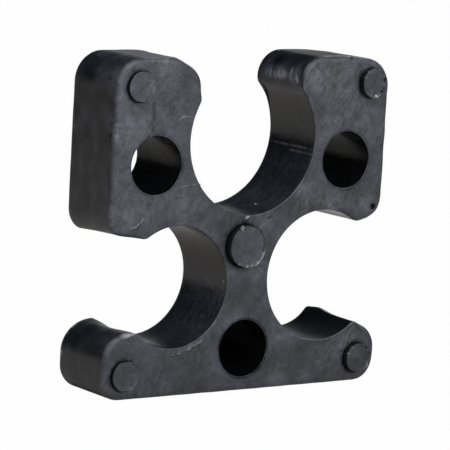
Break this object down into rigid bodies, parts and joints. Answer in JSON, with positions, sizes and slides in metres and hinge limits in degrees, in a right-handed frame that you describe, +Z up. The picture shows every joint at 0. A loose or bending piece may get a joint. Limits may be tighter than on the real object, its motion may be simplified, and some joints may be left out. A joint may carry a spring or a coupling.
{
  "type": "rebar chair",
  "caption": "Moulded plastic rebar chair: a thick plate on a foot bar, with open round saddles facing up, left and right, cross bores and raised round pads.",
  "frame": {"origin": "centre of the base: midway across the foot bar and midway between the rear face and the top of the gate pad, at the height the foot stands on", "axes": "+Z up from the foot to the top saddle, +X to the right as the front face with its pads is looked at, +Y from the front face to the rear face"},
  "size_m": [0.0556, 0.0148, 0.0558],
  "materials": {
    "black_plastic": "satin black recycled plastic with faint flow marks, scuffs and moulding flash"
  },
  "bodies": {
    "root": {"chair": "black_plastic"}
  },
  "joints": []
}
